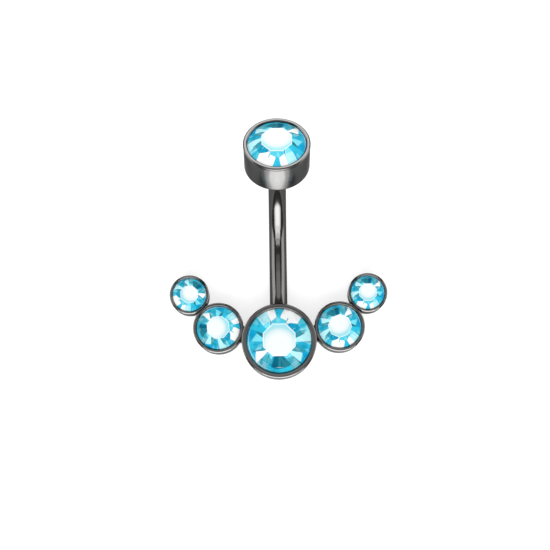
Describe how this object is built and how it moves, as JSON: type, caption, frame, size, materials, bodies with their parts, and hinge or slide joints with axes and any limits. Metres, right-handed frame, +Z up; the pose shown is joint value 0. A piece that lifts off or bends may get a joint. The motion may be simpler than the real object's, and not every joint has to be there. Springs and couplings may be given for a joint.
{
  "type": "navel ring",
  "caption": "Curved-bar navel ring: a crescent of bezel-set stones is soldered to the bar's foot, and a stone-set cup screws onto its top.",
  "frame": {"origin": "middle of the flat back of the main cup, which lies on the surface the ring rests on", "axes": "+Z up, out of the crescent's stones; +Y from the main cup along the bar to the top cup; +X to the right seen from in front"},
  "size_m": [0.0198, 0.0226, 0.0102],
  "materials": {
    "plated_steel": "polished",
    "aqua_crystal": "polished"
  },
  "bodies": {
    "root": {"frame": "plated_steel", "top_cup": "plated_steel", "main_stone": "aqua_crystal", "second_stone_right": "aqua_crystal", "second_stone_left": "aqua_crystal", "outer_stone_right": "aqua_crystal", "outer_stone_left": "aqua_crystal", "top_stone": "aqua_crystal"}
  },
  "joints": []
}
